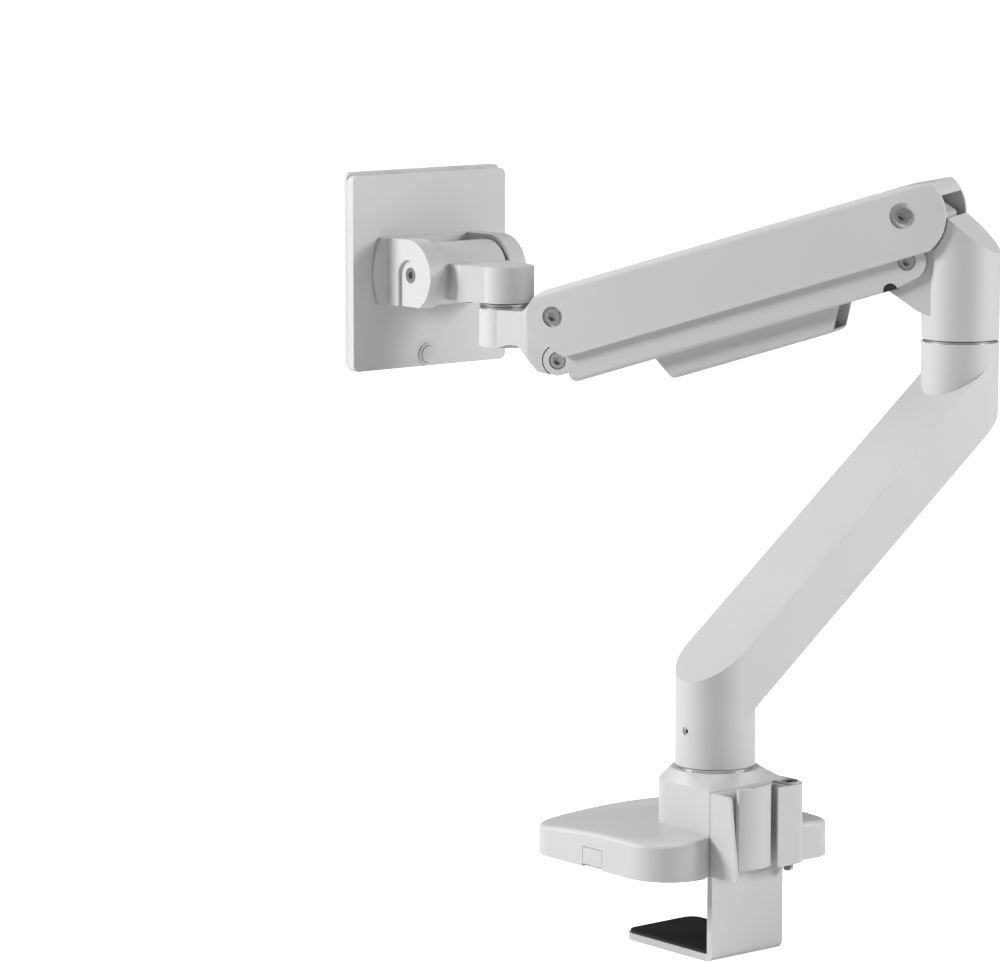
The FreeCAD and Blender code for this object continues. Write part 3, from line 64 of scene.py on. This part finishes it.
# Camera: its place in metres, its lens and sensor in millimetres
CAMERA_PLACE = Vector((1.6569, 1.8285, 0.5662))
CAMERA_FORWARD = Vector((-0.62844, -0.76492, -0.14128))
CAMERA_LENS = 162.74
CAMERA_SENSOR = 36
CAMERA_REACH = 100

# Floor and lights, in metres and watts
FLOOR_SIZE = 40
FLOOR_GAP = 0.0005
FILL_LIGHT = 0.15
LIGHT_TARGET = (-0.05, -0.12, 0.2)
LAMP_SIZE = 0.9
KEY_PLACE = (1.9, -1.4, 1.2)
KEY_POWER = 62
RIM_PLACE = (-1.4, 1.8, 0.9)
RIM_POWER = 36
TOP_PLACE = (-0.2, 0.0, 2.2)
TOP_SIZE = 1.6
TOP_POWER = 14

# Edge rounding of the CAD pieces, in metres
CAST_ROUND = 0.0009
SHEET_ROUND = 0.0005
FINE_ROUND = 0.00025
ROUND_ANGLE = math.radians(28)
ROUND_SEGMENTS = 3

# Clamp screw, in metres
THREAD_PITCH = 0.001
THREAD_DEPTH = 0.0006
THREAD_STEP = 0.00025
TIP_TAPER = 0.001
TIP_SLOPE = 0.6
SHANK_RADIUS = 0.003
HEAD_RADIUS = 0.005
HEAD_HEIGHT = 0.005
HEAD_EDGE = 0.0004
SOCKET_HALF = 0.00205
SOCKET_DEPTH = 0.0029
SCREW_COLUMNS = 36

# Colours, linear
PAPER = (0.9, 0.9, 0.9, 1)
WHITE = (1, 1, 1, 1)
PAINT = (0.60, 0.60, 0.603, 1)
MOULDED = (0.59, 0.59, 0.593, 1)
PLATED = (0.55, 0.55, 0.56, 1)
STEEL = (0.42, 0.42, 0.43, 1)
BLACK = (0.012, 0.012, 0.013, 1)
RUBBER = (0.010, 0.010, 0.010, 1)


# ---------------------------------------------------------------- materials
def new_material(name):
    material = bpy.data.materials.new(name)
    material.use_nodes = True
    return material, material.node_tree


def add_noise(tree, scale, detail, stretch=(1, 1, 1)):
    """Noise in the piece's own space, so that it moves with the piece."""
    place = tree.nodes.new("ShaderNodeTexCoord")
    mapping = tree.nodes.new("ShaderNodeMapping")
    mapping.inputs["Scale"].default_value = stretch
    noise = tree.nodes.new("ShaderNodeTexNoise")
    noise.inputs["Scale"].default_value = scale
    noise.inputs["Detail"].default_value = detail
    tree.links.new(place.outputs["Object"], mapping.inputs["Vector"])
    tree.links.new(mapping.outputs["Vector"], noise.inputs["Vector"])
    return noise.outputs["Fac"]


def vary_colour(tree, shader, factor, colour, spread):
    """Colour that drifts by spread to each side of colour."""
    ramp = tree.nodes.new("ShaderNodeValToRGB")
    low, high = ramp.color_ramp.elements
    low.position, high.position = 0.3, 0.7
    low.color = [c * (1 - spread) for c in colour[:3]] + [1]
    high.color = [min(1.0, c * (1 + spread)) for c in colour[:3]] + [1]
    tree.links.new(factor, ramp.inputs["Fac"])
    tree.links.new(ramp.outputs["Color"], shader.inputs["Base Color"])


def vary_roughness(tree, shader, factor, low, high):
    """Roughness that runs from low to high with factor."""
    span = tree.nodes.new("ShaderNodeMapRange")
    span.inputs["To Min"].default_value = low
    span.inputs["To Max"].default_value = high
    tree.links.new(factor, span.inputs["Value"])
    tree.links.new(span.outputs["Result"], shader.inputs["Roughness"])


def add_bump(tree, shader, factor, strength, depth):
    """Surface relief that follows factor, depth metres high."""
    bump = tree.nodes.new("ShaderNodeBump")
    bump.inputs["Strength"].default_value = strength
    bump.inputs["Distance"].default_value = depth
    tree.links.new(factor, bump.inputs["Height"])
    tree.links.new(bump.outputs["Normal"], shader.inputs["Normal"])


def powder_coat():
    """Satin powder coat with its fine orange-peel texture."""
    material, tree = new_material("powder_coat")
    shader = tree.nodes["Principled BSDF"]
    vary_colour(tree, shader, add_noise(tree, scale=14, detail=3), PAINT, spread=0.02)
    vary_roughness(tree, shader, add_noise(tree, scale=60, detail=2), low=0.40, high=0.50)
    add_bump(tree, shader, add_noise(tree, scale=1500, detail=2), strength=0.10, depth=0.0003)
    shader.inputs["Specular IOR Level"].default_value = 0.42
    return material


def moulded_plastic():
    """Moulded cover in the same light grey, with a finer spark-eroded grain."""
    material, tree = new_material("moulded_plastic")
    shader = tree.nodes["Principled BSDF"]
    vary_colour(tree, shader, add_noise(tree, scale=10, detail=3), MOULDED, spread=0.015)
    vary_roughness(tree, shader, add_noise(tree, scale=90, detail=2), low=0.46, high=0.56)
    add_bump(tree, shader, add_noise(tree, scale=2600, detail=2), strength=0.12, depth=0.0002)
    shader.inputs["Specular IOR Level"].default_value = 0.4
    return material


def brushed(name, colour, roughness, stretch):
    """Bare metal with its fine grain drawn out by stretch."""
    material, tree = new_material(name)
    shader = tree.nodes["Principled BSDF"]
    grain = add_noise(tree, scale=900, detail=4, stretch=stretch)
    vary_colour(tree, shader, grain, colour, spread=0.10)
    vary_roughness(tree, shader, grain, low=roughness - 0.07, high=roughness + 0.08)
    add_bump(tree, shader, grain, strength=0.08, depth=0.0001)
    shader.inputs["Metallic"].default_value = 1.0
    return material


def dark(name, colour, roughness, grain_scale, grain):
    """Black plastic or rubber with a grain of its own size and strength."""
    material, tree = new_material(name)
    shader = tree.nodes["Principled BSDF"]
    vary_colour(tree, shader, add_noise(tree, scale=40, detail=3), colour, spread=0.25)
    mottle = add_noise(tree, scale=200, detail=2)
    vary_roughness(tree, shader, mottle, low=roughness - 0.06, high=roughness + 0.06)
    add_bump(tree, shader, add_noise(tree, scale=grain_scale, detail=3), strength=grain, depth=0.0003)
    return material


def floor_paper():
    """White sweep that glows for the camera only, so that no shadows are left on it."""
    material, tree = new_material("floor_paper")
    shader = tree.nodes["Principled BSDF"]
    vary_colour(tree, shader, add_noise(tree, scale=0.5, detail=1), PAPER, spread=0.01)
    shader.inputs["Roughness"].default_value = 0.9
    shader.inputs["Specular IOR Level"].default_value = 0.1
    shader.inputs["Emission Color"].default_value = WHITE
    path = tree.nodes.new("ShaderNodeLightPath")
    tree.links.new(path.outputs["Is Camera Ray"], shader.inputs["Emission Strength"])
    return material


def rounded(node, width):
    """Rounds a CAD piece's sharp edges and smooths its shading."""
    bevel = node.modifiers.new("edge_round", "BEVEL")
    bevel.width = width
    bevel.segments = ROUND_SEGMENTS
    bevel.limit_method = "ANGLE"
    bevel.angle_limit = ROUND_ANGLE
    bevel.use_clamp_overlap = True
    bevel.harden_normals = True


def dress(names, material, width):
    """Gives the named CAD pieces one material and rounds their edges by width."""
    for name in names:
        node = frame["nodes"][name]
        for slot in node.material_slots:
            slot.material = material
        if not node.material_slots:
            node.data.materials.append(material)
        rounded(node, width)


def dress_all():
    """Dresses each CAD piece by the material slot that the record gives it."""
    slots = {}
    for entry in frame["record"]["subparts"]:
        slots.setdefault(entry["material_slot"], []).append(entry["node"])
    dress(slots["paint"], powder_coat(), CAST_ROUND)
    dress(slots["plastic"], moulded_plastic(), SHEET_ROUND)
    dress(slots["steel"], brushed("turned_steel", STEEL, roughness=0.33, stretch=(1, 1, 0.2)), FINE_ROUND)
    dress(slots["zinc"], brushed("plated_screws", PLATED, roughness=0.24, stretch=(1, 0.3, 1)), FINE_ROUND)
    acetal = dark("black_acetal", BLACK, roughness=0.45, grain_scale=700, grain=0.1)
    dress(slots["black_plastic"], acetal, FINE_ROUND)
    ribbed = dark("ribbed_rubber", RUBBER, roughness=0.7, grain_scale=500, grain=0.35)
    dress(slots["rubber"], ribbed, FINE_ROUND)


# ---------------------------------------------------------------- threaded clamp screw
def hexagon_radius(angle, half_flats):
    """Distance from the middle of a hexagon to its side in that direction."""
    return half_flats / math.cos((angle + math.pi / 6) % (math.pi / 3) - math.pi / 6)


def thread_radius(height, angle):
    """Radius of the threaded shank, rising and falling once per pitch."""
    phase = (height / THREAD_PITCH - angle / math.tau) % 1
    return SHANK_RADIUS - THREAD_DEPTH * (1 - abs(2 * phase - 1))


def ring(mesh, middle, height, radius_at):
    """Closed row of vertices; radius_at gives the radius for an angle."""
    row = []
    for column in range(SCREW_COLUMNS):
        angle = math.tau * column / SCREW_COLUMNS
        radius = radius_at(angle)
        place = (middle.x + radius * math.cos(angle), middle.y + radius * math.sin(angle), height)
        row.append(mesh.verts.new(place))
    return row


def screw_rows(mesh, low, high):
    """Rows of the screw from its tip, up the thread, round the head and down into the socket."""
    middle = (low + high) / 2
    head_low = high.z - HEAD_HEIGHT
    steps = round((head_low - low.z) / THREAD_STEP)
    rows = []
    for step in range(steps + 1):
        height = low.z + (head_low - low.z) * step / steps
        taper = max(0.0, TIP_TAPER - (height - low.z)) * TIP_SLOPE
        rows.append(ring(mesh, middle, height, lambda a: thread_radius(height, a) - taper))
    for height, radius in ((head_low, HEAD_RADIUS - HEAD_EDGE), (head_low + HEAD_EDGE, HEAD_RADIUS),
                           (high.z - HEAD_EDGE, HEAD_RADIUS), (high.z, HEAD_RADIUS - HEAD_EDGE)):
        rows.append(ring(mesh, middle, height, lambda a: radius))
    for height in (high.z, high.z - SOCKET_DEPTH):
        rows.append(ring(mesh, middle, height, lambda a: hexagon_radius(a, SOCKET_HALF)))
    return rows


def threaded_screw():
    """Clamp screw with its thread cut and its socket open, in place of the plain one."""
    low, high = (Vector(corner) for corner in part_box("clamp_screw"))
    mesh = bmesh.new()
    rows = screw_rows(mesh, low, high)
    for lower, upper in zip(rows, rows[1:]):
        for i in range(SCREW_COLUMNS):
            j = (i + 1) % SCREW_COLUMNS
            mesh.faces.new((lower[i], lower[j], upper[j], upper[i]))
    mesh.faces.new(reversed(rows[0]))
    mesh.faces.new(rows[-1])
    data = bpy.data.meshes.new("threaded_clamp_screw")
    mesh.to_mesh(data)
    mesh.free()
    screw = bpy.data.objects.new("threaded_clamp_screw", data)
    bpy.context.collection.objects.link(screw)
    data.materials.append(frame["nodes"]["clamp_screw"].data.materials[0])
    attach(screw, "clamp_screw")
    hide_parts("clamp_screw")


# ---------------------------------------------------------------- stage, lights, camera
def add_stage():
    """Floor just under the lowest point of the object."""
    low = cad_box[0][2] - FLOOR_GAP
    bpy.ops.mesh.primitive_plane_add(size=FLOOR_SIZE, location=(0, 0, low))
    floor = bpy.context.object
    floor.name = "floor"
    floor.data.materials.append(floor_paper())


def add_area(name, place, size, power):
    """Round lamp that faces the middle of the object."""
    light = bpy.data.lights.new(name, "AREA")
    light.shape = "DISK"
    light.size = size
    light.energy = power
    lamp = bpy.data.objects.new(name, light)
    lamp.location = place
    lamp.rotation_euler = (Vector(LIGHT_TARGET) - Vector(place)).to_track_quat("-Z", "Y").to_euler()
    bpy.context.collection.objects.link(lamp)


def add_world():
    """Soft fill for the object, plain white where the camera looks past it."""
    world = bpy.data.worlds.new("studio")
    world.use_nodes = True
    tree = world.node_tree
    fill = tree.nodes["Background"]
    fill.inputs["Color"].default_value = WHITE
    fill.inputs["Strength"].default_value = FILL_LIGHT
    backdrop = tree.nodes.new("ShaderNodeBackground")
    backdrop.inputs["Color"].default_value = WHITE
    backdrop.inputs["Strength"].default_value = 1.0
    path = tree.nodes.new("ShaderNodeLightPath")
    choice = tree.nodes.new("ShaderNodeMixShader")
    tree.links.new(path.outputs["Is Camera Ray"], choice.inputs["Fac"])
    tree.links.new(fill.outputs["Background"], choice.inputs[1])
    tree.links.new(backdrop.outputs["Background"], choice.inputs[2])
    tree.links.new(choice.outputs["Shader"], tree.nodes["World Output"].inputs["Surface"])
    bpy.context.scene.world = world


def add_lights():
    add_world()
    add_area("key", KEY_PLACE, LAMP_SIZE, KEY_POWER)
    add_area("rim", RIM_PLACE, LAMP_SIZE, RIM_POWER)
    add_area("top", TOP_PLACE, TOP_SIZE, TOP_POWER)


def add_camera():
    camera = bpy.data.cameras.new("camera")
    camera.lens = CAMERA_LENS
    camera.sensor_width = CAMERA_SENSOR
    camera.clip_end = CAMERA_REACH
    eye = bpy.data.objects.new("camera", camera)
    eye.location = CAMERA_PLACE
    eye.rotation_euler = CAMERA_FORWARD.to_track_quat("-Z", "Y").to_euler()
    bpy.context.collection.objects.link(eye)
    bpy.context.scene.camera = eye


dress_all()
threaded_screw()
add_stage()
add_lights()
add_camera()
bpy.context.scene.view_settings.view_transform = "Standard"
